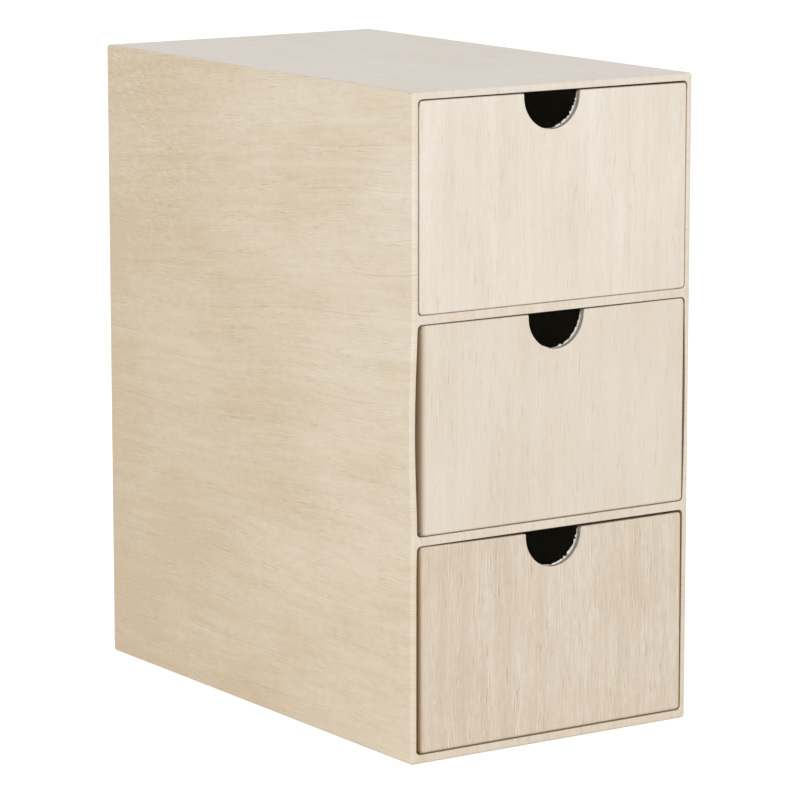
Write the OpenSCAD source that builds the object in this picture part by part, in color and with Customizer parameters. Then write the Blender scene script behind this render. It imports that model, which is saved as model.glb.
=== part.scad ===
// Desktop mini drawers: three drawers in a tall cabinet. Every panel is grey board, wrapped
// in wood-effect paper. The front faces -Y, and the origin is under the middle of the base.

/* [Cabinet] */
// Width across the front
cabinet_w = 168; // [140:1:220]
// Depth from front to back
cabinet_d = 290; // [200:1:330]
// Height
cabinet_h = 330; // [270:1:420]
// Thickness of the side boards
side_t = 2.8; // [1.5:0.1:4]
// Thickness of the top board
top_t = 3.5; // [2:0.1:5]
// Thickness of the base and shelf boards
panel_t = 4.1; // [2:0.1:5]
// Thickness of the back board
back_t = 2; // [1.5:0.1:3]
// Radius of the cabinet's long outer edges, over the paper
cabinet_edge_r = 1.5; // [0.6:0.1:2]
// Radius of the corners of each bay's mouth
mouth_r = 2.2; // [0.6:0.1:3]

/* [Drawers] */
// Thickness of a drawer's front board
front_t = 2.6; // [1.5:0.1:4]
// Thickness of a drawer's side and back boards
wall_t = 2; // [1.5:0.1:3]
// Thickness of a drawer's floor board
floor_t = 2; // [1.5:0.1:3]
// Gap at each side of a drawer
side_gap = 0.5; // [0.4:0.1:2]
// Gap above a drawer
top_gap = 0.8; // [0.5:0.1:3]
// Gap under a drawer, where it glides on the paper of its bay
glide_gap = 0.1; // [0.1:0.1:0.4]
// Gap behind a closed drawer
back_gap = 3; // [1:0.5:10]

/* [Finger notches] */
// Width of a notch
notch_w = 33.5; // [22:0.5:45]
// Straight stretch of a notch's sides, above its half round
notch_straight = 1.5; // [0:0.5:10]
// Radius where a notch's sides meet the rim
notch_lip_r = 1; // [0.4:0.1:2]

/* [Paper] */
// Thickness of the wraps, liners, edgings and sheets
paper_t = 0.2; // [0.15:0.05:0.4]
// Smallest radius that the paper is folded round
fold_r = 0.6; // [0.5:0.1:1]
// How far the paper is turned into a bay's mouth
bay_turn = 18; // [8:1:30]
// How far the wrap is turned onto the cabinet's back and underside
outer_turn = 15; // [6:1:30]
// How far the wrap is turned down inside a drawer's rim
rim_turn = 15; // [6:1:25]
// How far below the rim a drawer's liner ends
liner_drop = 3; // [1:0.5:5]

/* [Hidden] */
OAK_PAPER = [0.89, 0.85, 0.78];
GREY_BOARD = [0.55, 0.52, 0.48];
LINER_PAPER = [0.95, 0.94, 0.91];

ROWS = ["bottom", "middle", "top"];
DRAWER_PIECES = ["floor_board", "front_board", "back_board", "left_board", "right_board", "wrap", "liner"];
$fn = 48;

// Anything that only has to reach past a face reaches this far.
past = 1;

// The cabinet, from the outside in
side_edge = side_t + 2 * paper_t;
top_edge = top_t + 2 * paper_t;
panel_edge = panel_t + 2 * paper_t;
front_y = -cabinet_d / 2;
board_front_y = front_y + paper_t;
back_board_y = cabinet_d / 2 - paper_t - back_t;
board_run = back_board_y - board_front_y;
between_sides = cabinet_w - 2 * (side_t + paper_t);
bay_w = cabinet_w - 2 * side_edge;
bays_h = cabinet_h - panel_edge - top_edge;
bay_h = (bays_h - (len(ROWS) - 1) * panel_edge) / len(ROWS);

// A drawer, over its paper
drawer_w = bay_w - 2 * side_gap;
drawer_h = bay_h - glide_gap - top_gap;
drawer_d = cabinet_d - paper_t - back_t - back_gap;
// Its long outer edges follow the corners of its bay's mouth.
drawer_edge_r = max(fold_r, mouth_r - side_gap);

// The space inside a drawer's bare boards
cavity_w = drawer_w - 2 * (paper_t + wall_t);
cavity_front_y = front_y + paper_t + front_t;
cavity_d = drawer_d - 2 * paper_t - front_t - wall_t;
cavity_z = paper_t + floor_t;

function bay_floor(row) = panel_edge + row * (bay_h + panel_edge);

// ---- Shared shapes ----

// A rectangle about the origin with rounded corners
module rounded_rectangle(w, h, r) {
    square([w - 2 * r, h], center = true);
    square([w, h - 2 * r], center = true);
    for (x = [-1, 1], y = [-1, 1])
        translate([x * (w / 2 - r), y * (h / 2 - r)])
            circle(r);
}

// A block with its four long edges rounded, centred in X, from y = 0 back and z = 0 up
module rounded_block(w, d, h, r) {
    translate([0, d, h / 2])
        rotate([90, 0, 0])
            linear_extrude(d)
                rounded_rectangle(w, h, r);
}

// A plain block, centred in X, from y back and z up
module slab(w, d, h, y = 0, z = 0) {
    translate([-w / 2, y, z])
        cube([w, d, h]);
}

// ---- Cabinet ----

// The cabinet's outer form, taken in by inset on every side
module cabinet_form(inset) {
    translate([0, front_y + inset, inset])
        rounded_block(
            cabinet_w - 2 * inset,
            cabinet_d - 2 * inset,
            cabinet_h - 2 * inset,
            cabinet_edge_r - inset
        );
}

// A side board, on the left at side = -1 and on the right at side = 1
module side_board(side) {
    color(GREY_BOARD)
        intersection() {
            cabinet_form(paper_t);
            translate([side * (between_sides + side_t) / 2, 0, 0])
                slab(side_t, board_run, cabinet_h, board_front_y);
        }
}

module left_side_board() {
    side_board(-1);
}

module right_side_board() {
    side_board(1);
}

// The top or base board, between the sides: t thick, from height z up
module end_board(t, z) {
    color(GREY_BOARD)
        intersection() {
            cabinet_form(paper_t);
            slab(between_sides, board_run, t, board_front_y, z);
        }
}

module top_board() {
    end_board(top_t, cabinet_h - paper_t - top_t);
}

module base_board() {
    end_board(panel_t, paper_t);
}

module back_board() {
    color(GREY_BOARD)
        intersection() {
            cabinet_form(paper_t);
            slab(cabinet_w, back_t, cabinet_h, back_board_y);
        }
}

// The shelf under the bay of this row
module shelf_board(row) {
    color(GREY_BOARD)
        slab(between_sides, board_run, panel_t, board_front_y, bay_floor(row) - paper_t - panel_t);
}

module lower_shelf_board() {
    shelf_board(1);
}

module upper_shelf_board() {
    shelf_board(2);
}

// The paper inside the bays' mouths and on the shelves' front edges
module mouth_paper() {
    difference() {
        union() {
            slab(between_sides, paper_t, bays_h, front_y, panel_edge);
            for (row = [0 : len(ROWS) - 1])
                slab(
                    between_sides,
                    bay_turn,
                    bay_h + 2 * paper_t,
                    front_y,
                    bay_floor(row) - paper_t
                );
        }
        for (row = [0 : len(ROWS) - 1])
            bay_mouth(row);
    }
}

// The clear way into a bay, over its paper
module bay_mouth(row) {
    translate([0, front_y + bay_turn + past, bay_floor(row) + bay_h / 2])
        rotate([90, 0, 0])
            linear_extrude(bay_turn + 2 * past)
                rounded_rectangle(bay_w, bay_h, mouth_r);
}

// What a shelf's own edging covers: its width between the rounded corners of the mouths
module edging_zone(row) {
    slab(
        bay_w - 2 * mouth_r,
        bay_turn + 2 * past,
        panel_edge,
        front_y - past,
        bay_floor(row) - panel_edge
    );
}

module shelf_edging(row) {
    color(OAK_PAPER)
        intersection() {
            mouth_paper();
            edging_zone(row);
        }
}

module lower_shelf_edging() {
    shelf_edging(1);
}

module upper_shelf_edging() {
    shelf_edging(2);
}

// The part of the back that the wrap's turned edges leave for the back sheet
module back_sheet_area() {
    slab(
        cabinet_w - 2 * outer_turn,
        paper_t,
        cabinet_h - 2 * outer_turn,
        cabinet_d / 2 - paper_t,
        outer_turn
    );
}

// The part of the underside that the wrap's turned edges leave for the base sheet
module base_sheet_area() {
    slab(cabinet_w - 2 * outer_turn, cabinet_d - 2 * outer_turn, paper_t, front_y + outer_turn);
}

// One sheet over the sides, top and front edges, turned into the bays, over the back and under
module cabinet_wrap() {
    color(OAK_PAPER)
        union() {
            difference() {
                cabinet_form(0);
                cabinet_form(paper_t);
                back_sheet_area();
                base_sheet_area();
                translate([0, paper_t - past, 0])
                    slab(between_sides, past, bays_h, front_y, panel_edge);
            }
            difference() {
                mouth_paper();
                edging_zone(1);
                edging_zone(2);
            }
        }
}

module back_sheet() {
    color(OAK_PAPER)
        back_sheet_area();
}

module base_sheet() {
    color(OAK_PAPER)
        base_sheet_area();
}

// ---- Drawers, each modelled standing on z = 0 ----

// A drawer's outer form, taken in by inset on every side
module drawer_form(inset) {
    translate([0, front_y + inset, inset])
        rounded_block(
            drawer_w - 2 * inset,
            drawer_d - 2 * inset,
            drawer_h - 2 * inset,
            drawer_edge_r - inset
        );
}

// A column through the space inside the boards, taken in by inset, from z up to top
module cavity_column(inset, z, top) {
    slab(cavity_w - 2 * inset, cavity_d - 2 * inset, top - z, cavity_front_y + inset, z);
}

// The finger notch's outline, with the rim at y = 0
module notch_outline() {
    translate([0, -notch_straight])
        circle(notch_w / 2, $fn = 96);
    translate([-notch_w / 2, -notch_straight])
        square([notch_w, notch_straight + past]);
    for (side = [-1, 1])
        translate([side * notch_w / 2, -notch_lip_r])
            difference() {
                translate([-notch_lip_r, 0])
                    square([2 * notch_lip_r, notch_lip_r + past]);
                translate([side * notch_lip_r, 0])
                    circle(notch_lip_r);
            }
}

// The notch, cut through everything at the drawer's front
module finger_notch() {
    notch_run = front_t + 4 * paper_t + 2 * past;
    translate([0, front_y - past + notch_run, drawer_h])
        rotate([90, 0, 0])
            linear_extrude(notch_run)
                notch_outline();
}

module drawer_floor_board() {
    color(GREY_BOARD)
        intersection() {
            drawer_form(paper_t);
            slab(drawer_w, drawer_d, floor_t, front_y, paper_t);
        }
}

module drawer_front_board() {
    color(GREY_BOARD)
        difference() {
            intersection() {
                drawer_form(paper_t);
                slab(drawer_w, front_t, drawer_h, board_front_y, cavity_z);
            }
            finger_notch();
        }
}

module drawer_back_board() {
    color(GREY_BOARD)
        intersection() {
            drawer_form(paper_t);
            slab(drawer_w, wall_t, drawer_h, cavity_front_y + cavity_d, cavity_z);
        }
}

// A drawer's side wall, on the left at side = -1 and on the right at side = 1
module drawer_side_board(side) {
    color(GREY_BOARD)
        intersection() {
            drawer_form(paper_t);
            translate([side * (cavity_w + wall_t) / 2, 0, 0])
                slab(wall_t, cavity_d, drawer_h, cavity_front_y, cavity_z);
        }
}

module drawer_left_board() {
    drawer_side_board(-1);
}

module drawer_right_board() {
    drawer_side_board(1);
}

// One sheet over the outside and the underside, turned over the rim and down inside
module drawer_wrap() {
    color(OAK_PAPER)
        difference() {
            union() {
                difference() {
                    drawer_form(0);
                    drawer_form(paper_t);
                }
                cavity_column(0, drawer_h - rim_turn, drawer_h);
            }
            cavity_column(paper_t, drawer_h - rim_turn - past, drawer_h + past);
            finger_notch();
        }
}

// The inner sheet on the floor and walls, which steps over the wrap's turned edge
module drawer_liner() {
    step_z = drawer_h - rim_turn;
    color(LINER_PAPER)
        difference() {
            union() {
                cavity_column(0, cavity_z, step_z);
                cavity_column(paper_t, step_z, drawer_h - liner_drop);
            }
            cavity_column(paper_t, cavity_z + paper_t, step_z - paper_t);
            cavity_column(2 * paper_t, step_z - 2 * paper_t, drawer_h);
            finger_notch();
        }
}

// Sets a drawer in the bay of its row
module in_bay(row) {
    translate([0, 0, bay_floor(row) + glide_gap])
        children();
}

left_side_board();
right_side_board();
top_board();
base_board();
back_board();
upper_shelf_board();
lower_shelf_board();
upper_shelf_edging();
lower_shelf_edging();
cabinet_wrap();
back_sheet();
base_sheet();
for (row = [0 : len(ROWS) - 1])
    in_bay(row) {
        drawer = str(ROWS[row], "_drawer_");
        drawer_floor_board();
        drawer_front_board();
        drawer_back_board();
        drawer_left_board();
        drawer_right_board();
        drawer_wrap();
        drawer_liner();
    }
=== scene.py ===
"""Looks for the desktop mini drawers: grey board wrapped in pale oak-effect paper.

All is in metres in the part's frame, and the front faces -Y. The attribute "paper" is each point's
place on the flat sheet, in millimetres: X along the grain, Y across it, and Z telling sheets apart.
"""

import math
from collections import namedtuple

import bmesh
import bpy
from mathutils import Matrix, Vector, noise


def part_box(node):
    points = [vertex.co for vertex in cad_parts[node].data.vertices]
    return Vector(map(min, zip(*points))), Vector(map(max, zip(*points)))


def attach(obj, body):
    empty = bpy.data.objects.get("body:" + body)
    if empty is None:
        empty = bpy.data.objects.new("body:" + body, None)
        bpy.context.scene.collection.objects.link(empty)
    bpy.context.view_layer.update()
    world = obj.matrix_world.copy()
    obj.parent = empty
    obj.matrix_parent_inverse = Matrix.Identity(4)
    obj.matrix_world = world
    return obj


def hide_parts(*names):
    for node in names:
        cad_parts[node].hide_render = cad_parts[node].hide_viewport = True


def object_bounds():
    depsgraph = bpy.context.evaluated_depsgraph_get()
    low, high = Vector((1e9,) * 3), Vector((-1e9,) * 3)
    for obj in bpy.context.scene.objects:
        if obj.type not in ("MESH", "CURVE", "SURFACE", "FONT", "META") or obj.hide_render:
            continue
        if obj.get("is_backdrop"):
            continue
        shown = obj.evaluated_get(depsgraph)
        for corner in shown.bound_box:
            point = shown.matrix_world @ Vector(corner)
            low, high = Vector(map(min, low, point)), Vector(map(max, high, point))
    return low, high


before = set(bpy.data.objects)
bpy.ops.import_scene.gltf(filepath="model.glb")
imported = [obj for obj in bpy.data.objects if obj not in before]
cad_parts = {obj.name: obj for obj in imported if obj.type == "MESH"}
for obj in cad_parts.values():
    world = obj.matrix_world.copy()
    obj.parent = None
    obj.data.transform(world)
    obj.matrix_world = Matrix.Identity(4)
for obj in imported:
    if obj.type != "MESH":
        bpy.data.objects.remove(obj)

MM = 0.001
ROWS = ("bottom", "middle", "top")
cad_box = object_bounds()

# ---- Sizes read from the frame ----

CABINET_LO, CABINET_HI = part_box("cabinet_wrap")
CABINET_W = CABINET_HI.x - CABINET_LO.x
CABINET_D = CABINET_HI.y - CABINET_LO.y
CABINET_H = CABINET_HI.z - CABINET_LO.z
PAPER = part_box("base_sheet")[1].z
WRAP = Vector((PAPER, PAPER, PAPER))
LOWER_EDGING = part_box("lower_shelf_edging")
UPPER_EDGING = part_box("upper_shelf_edging")
BAY_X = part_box("right_side_board")[0].x - PAPER
BAYS = (
    (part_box("base_board")[1].z + PAPER, LOWER_EDGING[0].z),
    (LOWER_EDGING[1].z, UPPER_EDGING[0].z),
    (UPPER_EDGING[1].z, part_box("top_board")[0].z - PAPER),
)
STRAIGHT_X = LOWER_EDGING[1].x
MOUTH_R = BAY_X - STRAIGHT_X
BAY_TURN = LOWER_EDGING[1].y - LOWER_EDGING[0].y
OUTER_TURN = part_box("back_sheet")[0].x - CABINET_LO.x
TURN_X = CABINET_W / 2 - OUTER_TURN

# ---- Finish of the folds ----

OUTER_EDGE_R = 1.5 * MM
SIDE_X = CABINET_W / 2 - OUTER_EDGE_R
MOUTH_EDGE_R = 0.5 * MM
RIM_R = 0.7 * MM
RIM_TURN = 15 * MM
LINER_DROP = 3 * MM
LINER_STEP = 1.5 * PAPER
LINER_CORNER_R = 1.2 * MM
NOTCH_R = 16.75 * MM
NOTCH_STRAIGHT = 1.5 * MM
NOTCH_LEFT_LIP_R = 0.5 * MM
NOTCH_RIGHT_LIP_R = 1.3 * MM
CORNER_STEPS = 6
FOLD_STEPS = 4
BOWL_STEPS = 48
# Folds that turn by more stay sharp
CREASE = math.radians(40)
# Radii of a drawer's front left fold, of its other folds, and of its front's corners
Folds = namedtuple("Folds", "front_left upright under upper_corner lower_corner")
FOLDS = {
    "bottom": Folds(3.0 * MM, 1.5 * MM, 1.9 * MM, 2.1 * MM, 2.0 * MM),
    "middle": Folds(4.2 * MM, 1.5 * MM, 1.4 * MM, 2.6 * MM, 2.3 * MM),
    "top": Folds(1.2 * MM, 1.0 * MM, 1.0 * MM, 1.8 * MM, 2.0 * MM),
}
# A drawer's long edges: their radius from SOFT_DEPTH on, and the band of fine rows they bend in
LONG_EDGE_R = 2.0 * MM
SOFT_DEPTH = 14 * MM
SOFT_BAND = 3 * MM
SOFT_STEP = 0.6 * MM
# How far the notches' cutter reaches before and behind the front, and above the rim
CUT_BEFORE = 5 * MM
CUT_BEHIND = 10 * MM
CUT_ABOVE = 3 * MM

# ---- Mesh grids ----

# The widest steps between rows
GRID = 6 * MM
MOUTH_STEP = 8 * MM
LINING_STEP = 5 * MM
OUTSIDE_STEP = 9 * MM
SIDE_STEP = 12 * MM
BOARD_STEP = 20 * MM
# Tolerances for steps, vertices and planes, and a distance beyond all folds
STEP_SLACK = 1e-6
WELD = 0.001 * MM
TOUCH = 0.01 * MM
CLEAR = 1.0

# ---- How the papers are laid out ----

# From a bay's wall to the outside, and to where paper is laid from the side
SEAM = 0.3 * MM
MOUTH_SEAM = 0.2 * MM
# How much further than its turned edge a shelf's edging may reach
EDGING_PAST = 1 * MM
# How far down an underside looks, and how near its ends a front's paper turns
UNDER_NORMAL = -0.7
END_BAND = 3 * MM
# How far apart faces lie that share no fold, in millimetres
SHEET_GAP = 1000
# Where each sheet lies in the noise: no two have the same print
SHEETS = ("cabinet_wrap", "lower_shelf_edging", "upper_shelf_edging", "back_sheet", "base_sheet")
SHEETS += tuple(row + "_drawer_wrap" for row in ROWS)
SEEDS = {node: 20 * number for number, node in enumerate(SHEETS)}

# ---- Traces of hand work, and painted shade in the gaps ----

BOW_LEFT = 1.6 * MM
BOW_RIGHT = 0.8 * MM
BOW_POWER = 1.15
# The bow fades within 1 / BOW_PACE of the depth and sets in over BOW_BLEND, and BOW_SKIN of the right
# wall stays
BOW_PACE = 1.1
BOW_BLEND = 1 * MM
BOW_SKIN = 0.8 * MM
# The left wall stands out beside the bottom drawer, and comes back this near to the shelf
SPREAD = 0.7 * MM
SPREAD_FADE = 20 * MM
# How a drawer sits. It leans to the left at its rim, and the sinks are its rim's
Sits = namedtuple("Sits", "shift lean sink_left sink_middle sink_right notch_shift")
SITS = {
    "bottom": Sits(0.1 * MM, 0.4 * MM, -0.4 * MM, 0.4 * MM, 0.3 * MM, 0.25 * MM),
    "middle": Sits(0.4 * MM, 0.0, -0.45 * MM, -0.25 * MM, -0.45 * MM, 0.75 * MM),
    "top": Sits(0.2 * MM, 0.1 * MM, -0.3 * MM, -0.1 * MM, 0.1 * MM, -2.4 * MM),
}
# How far behind the front the painted shade in the gaps at the folds starts, is full, fades and ends
GAP_SHADE_DEPTHS = (0.02 * MM, 0.8 * MM, 2.2 * MM, 6 * MM)
# The share of that painted shade beside the top drawer, and the depths under its bay's roof between
# which it comes back to all
TOP_GAP_SHADE = 0.15
RIM_BAND = (5 * MM, 2 * MM)
# The torn paper in a notch. At its left it reaches TEAR_LEFT as far, and it grows between TEAR_GROWS
# and ends over TEAR_ENDS, which are shares of the outline. It is rooted TEAR_ROOT deep in the board
TEAR_STEP = 0.35 * MM
TEAR_REACH = 0.72 * MM
TEAR_LEFT = 0.35
TEAR_GROWS = (0.42, 0.62)
TEAR_ENDS = 0.06
TEAR_LEAN = 0.3 * MM
TEAR_CURL = 0.2 * MM
TEAR_PROUD = 0.05 * MM
TEAR_ROOT = 0.5 * MM
TEAR_THICK = 0.25 * MM
# How fast its noises change, and the plane in which each lies
TEAR_SEED = 3.7
TEAR_NOISES = {"wander": (0.06, 0.0), "jag": (0.31, 7.0), "curl": (0.2, 3.0)}
# The least and the middle of its reach and its lean, and what wander and jag add
REACH_MIX = (0.05, 0.6, 0.8, 1.7)
LEAN_MIX = (0.1, 0.7, 0.8, 0.5)

# ---- Camera and light ----

CAMERA_PLACE = (-1.20586, -1.79983, 0.54149)
CAMERA_AZIMUTH = 33.960
CAMERA_ELEVATION = -10.207
CAMERA_LENS = 190.05
CAMERA_CLIP = (0.1, 50.0)
WORLD_LIGHT = 0.62
FLOOR_HALF = 6.0
FLOOR_DROP = 0.1 * MM
FLOOR_GLOW = 0.6
# Each lamp: name, place, what it faces, size of its side, power
LAMPS = (
    ("key", (0.6, -2.2, 0.95), (0.0, 0.0, 0.2), 1.6, 16.5),
    ("fill", (-2.1, -1.1, 0.65), (0.0, 0.0, 0.15), 1.6, 19.6),
)

# ---- Node graphs ----

def srgb(red, green, blue):
    """An 8-bit sRGB colour as linear RGBA."""
    def linear(value):
        share = value / 255
        return share / 12.92 if share <= 0.04045 else ((share + 0.055) / 1.055) ** 2.4
    return (linear(red), linear(green), linear(blue), 1.0)


class Graph:
    """A node tree with short calls that add and join nodes."""

    def __init__(self, tree):
        self.tree = tree

    def feed(self, socket, value):
        if isinstance(value, bpy.types.NodeSocket):
            self.tree.links.new(value, socket)
        else:
            socket.default_value = value

    def add(self, kind, inputs=None, **settings):
        made = self.tree.nodes.new(kind)
        for key, value in settings.items():
            setattr(made, key, value)
        for key, value in (inputs or {}).items():
            self.feed(made.inputs[key], value)
        return made

    def math(self, operation, first, second=0.0, third=0.0, clamp=False):
        inputs = {0: first, 1: second, 2: third}
        return self.add("ShaderNodeMath", inputs, operation=operation, use_clamp=clamp).outputs[0]

    def times(self, first, second):
        return self.math("MULTIPLY", first, second)

    def weighted(self, *pairs):
        """The sum of the first of each pair times the second."""
        total = self.times(*pairs[0])
        for value, share in pairs[1:]:
            total = self.math("MULTIPLY_ADD", value, share, total)
        return total

    def vector(self, operation, first, second):
        return self.add("ShaderNodeVectorMath", {0: first, 1: second}, operation=operation).outputs[0]

    def combine(self, x, y, z):
        return self.add("ShaderNodeCombineXYZ", {0: x, 1: y, 2: z}).outputs[0]

    def separate(self, vector):
        return self.add("ShaderNodeSeparateXYZ", {0: vector}).outputs

    def noise(self, vector, size, detail=2.0, roughness=0.5):
        """Noise from 0 to 1 with blobs of this size along X, Y and Z."""
        scaled = self.vector("DIVIDE", vector, size)
        inputs = {"Vector": scaled, "Scale": 1.0, "Detail": detail, "Roughness": roughness}
        return self.add("ShaderNodeTexNoise", inputs).outputs["Fac"]

    def span(self, value, low, high, to_low=0.0, to_high=1.0, smooth=False):
        """Takes a value from one range into another and stops at its ends."""
        inputs = {"Value": value, "From Min": low, "From Max": high, "To Min": to_low, "To Max": to_high}
        kind = "SMOOTHSTEP" if smooth else "LINEAR"
        return self.add("ShaderNodeMapRange", inputs, interpolation_type=kind, clamp=True).outputs[0]

    def mix(self, factor, first, second):
        inputs = {0: factor, 6: first, 7: second}
        return self.add("ShaderNodeMix", inputs, data_type="RGBA").outputs[2]


def new_material(name, specular):
    """A new material with its graph and shader."""
    material = bpy.data.materials.new(name)
    material.use_nodes = True
    graph = Graph(material.node_tree)
    shader = material.node_tree.nodes["Principled BSDF"]
    shader.inputs["Specular IOR Level"].default_value = specular
    return material, graph, shader


def in_millimetres(graph):
    """A point's place on its own object, in millimetres."""
    place = graph.add("ShaderNodeTexCoord").outputs["Object"]
    return graph.vector("MULTIPLY", place, (1 / MM,) * 3)


def paint(graph, shader, colour, rough, relief, depth, strength):
    """Feeds a material's colour, roughness and bumps, whose full height is the depth."""
    graph.feed(shader.inputs["Base Color"], colour)
    graph.feed(shader.inputs["Roughness"], rough)
    bump = graph.add("ShaderNodeBump", {"Height": relief, "Distance": depth, "Strength": strength})
    graph.feed(shader.inputs["Normal"], bump.outputs["Normal"])


# ---- The oak print, and the shade painted on it ----

# Each layer: its blobs' size along and across the grain in millimetres, detail, roughness, and the
# levels of noise between which it rises from 0 to 1
LAYERS = {
    "wander": (150, 60, 1.0, 0.5, 0.25, 0.75),
    "ripple": (45, 12, 2.0, 0.5, 0.25, 0.75),
    "patches": (95, 50, 4.0, 0.5, 0.32, 0.68),
    "bands": (230, 8, 3.0, 0.5, 0.3, 0.7),
    "mist": (26, 3.5, 3.0, 0.6, 0.3, 0.7),
    "mottle": (6, 4, 3.0, 0.6, 0.3, 0.7),
    "blush": (150, 17, 2.0, 0.5, 0.44, 0.62),
    "strength": (34, 6, 3.0, 0.5, 0.4, 0.62),
    "streaks": (14, 0.8, 3.0, 0.6, 0.52, 0.72),
    "hairs": (7, 0.42, 2.0, 0.6, 0.5, 0.75),
    "pore_groups": (36, 6, 2.0, 0.5, 0.46, 0.6),
    "pores": (10, 0.62, 1.0, 0.5, 0.6, 0.72),
    "ring_groups": (120, 14, 1.0, 0.5, 0.5, 0.66),
    "fleck_groups": (70, 60, 2.0, 0.5, 0.48, 0.64),
    "flecks": (3.2, 11, 2.0, 0.6, 0.56, 0.76),
}
TOOTH_SIZE = (0.35, 0.35, 1)
RING_SPACING = 21.0
RING_WIDTH = 0.5
# How far a streak's pale edge is off it, and the shares of the faintest streak, ripples and blush
EMBOSS_STEP = 0.8
FAINTEST = 0.2
RIPPLE = 0.08
BLUSH_SHARE = 0.08

GRAIN_BROWN = srgb(136, 107, 76)
FLECK_PALE = srgb(245, 236, 220)
BLUSH = srgb(226, 208, 194)
# The warm brown of the painted shade in the gaps behind the front folds, between drawers and cabinet
GAP_SHADE_BROWN = srgb(131, 97, 50)
DRAWER_PALE = srgb(233, 226, 214)
DRAWER_TAN = srgb(209, 191, 168)
CABINET_PALE = srgb(224, 214, 201)
CABINET_TAN = srgb(216, 196, 163)
# The warmer pale of the cabinet's sides: painted light, the same paper lit warmer from the side
SIDE_PAINTED_PALE = srgb(237, 224, 204)

# A kind of sheet: how far its grain sways, and how strong its clouds, rings and flecks are
DRAWER_SHEET = (2.0, 0.2, 0.0)
CABINET_SHEET = (3.5, 0.35, 0.2)
# How far a print leans to tan, and how strong its grain, bands, mottling and painted gap shade are
PrintAndShade = namedtuple("PrintAndShade", "tone contrast band grit wear")
CABINET_PRINT_AND_SHADE = PrintAndShade(-0.25, 1.15, 0.3, 0.3, 0.75)
# The lower drawers lean further to tan: partly their own print, partly painted shade where the light
# falls off downwards
DRAWER_PRINTS_AND_SHADE = {
    "bottom": PrintAndShade(0.47, 2.0, 0.4, 0.3, 0.85),
    "middle": PrintAndShade(0.36, 1.1, 0.12, 0.1, 0.85),
    "top": PrintAndShade(0.1, 1.0, 0.25, 0.15, 0.85),
}

# The heights between which the cabinet's grain starts to climb, and how steeply
CLIMB = (60.0, 240.0, 0.0, 0.1)
# How far its colour drifts to tan: on its sides at the front and back, painted shade darker towards the
# back, and at its foot in front and beside, darker towards the foot
SIDE_SHADE_DRIFT = (0.2, 0.8)
FOOT_DRIFT = (0.4, 0.2)
# Where slanted strokes cross its sides, their share elsewhere, the cosine and sine of their slant,
# their size, and the levels of their noise that show pale or dark, and how strongly
BURL_DEPTHS = (150.0, 250.0)
BURL_HEIGHTS = (190.0, 290.0)
BURL_ELSEWHERE = 0.25
SLANT = (math.cos(math.radians(13)), math.sin(math.radians(13)))
STROKE_SIZE = (6, 1.3, 1)
PALE_STROKES = (0.56, 0.72, 0.0, 0.34)
DARK_STROKES = (0.3, 0.46, 0.1, 0.0)


def layer(graph, kind, vector, to_low=0.0, to_high=1.0, smooth=False):
    """A layer of the print, laid out by this vector."""
    along, aside, detail, roughness, low, high = LAYERS[kind]
    cloudy = graph.noise(vector, (along, aside, 1), detail, roughness)
    return graph.span(cloudy, low, high, to_low, to_high, smooth)


def faint_rings(graph, across):
    """Thin lines along the grain, at even distances across it."""
    ring = graph.math("FRACT", graph.math("DIVIDE", across, RING_SPACING))
    off = graph.math("ABSOLUTE", graph.math("SUBTRACT", ring, 0.5))
    return graph.span(off, 0.0, RING_WIDTH / RING_SPACING, 1.0, 0.0)


def grain_vectors(graph, sheet, sway, cabinet):
    """Places that sway with the grain: the fine grain's, a step across it, the long grain's without
    ripples, and how far across the last lies."""
    u, v, seed = graph.separate(sheet)
    swept = graph.math("ADD", v, layer(graph, "wander", sheet, -sway, sway))
    if cabinet:
        climb = graph.times(u, graph.span(v, *CLIMB))
        swept = graph.math("ADD", swept, climb)
    ripple = layer(graph, "ripple", sheet, -RIPPLE * sway, RIPPLE * sway)
    across = graph.math("ADD", swept, ripple)
    grain = graph.combine(u, across, seed)
    aside = graph.combine(u, graph.math("ADD", across, EMBOSS_STEP), seed)
    return grain, aside, graph.combine(u, swept, seed), swept


def tan_share(graph, sheet, grain, cloud, print_and_shade):
    """How far the print's ground leans from pale to tan."""
    share = graph.weighted(
        (layer(graph, "patches", sheet, smooth=True), cloud),
        (layer(graph, "bands", grain), print_and_shade.band),
        (layer(graph, "mist", grain), print_and_shade.grit),
        (layer(graph, "mottle", sheet), 0.8 * print_and_shade.grit),
    )
    return graph.math("ADD", share, print_and_shade.tone - 0.9 * print_and_shade.grit)


def cabinet_painted_falloff(graph, depth, height, beside):
    """How much further a point of the cabinet leans to tan: painted shade towards the back of its sides,
    and darker towards its foot. beside is 1 on its sides.
    """
    to_back = graph.span(depth, 0, CABINET_D / MM, *SIDE_SHADE_DRIFT)
    to_foot = graph.span(height, 0, CABINET_H / MM, 1.0, 0.0)
    return graph.weighted((beside, to_back), (to_foot, graph.span(beside, 0, 1, *FOOT_DRIFT)))


def cabinet_strokes(graph, sheet, height, beside):
    """The slanted strokes on the cabinet's sides: where they show, and their noise."""
    u, v, seed = graph.separate(sheet)
    burl = graph.times(graph.span(u, *BURL_DEPTHS), graph.span(height, *BURL_HEIGHTS))
    groups = layer(graph, "fleck_groups", sheet)
    burl = graph.math("MULTIPLY_ADD", groups, BURL_ELSEWHERE, burl, clamp=True)
    along = graph.weighted((v, SLANT[1]), (u, SLANT[0]))
    across = graph.weighted((u, -SLANT[1]), (v, SLANT[0]))
    strokes = graph.noise(graph.combine(along, across, seed), STROKE_SIZE)
    return graph.times(beside, burl), strokes


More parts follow.
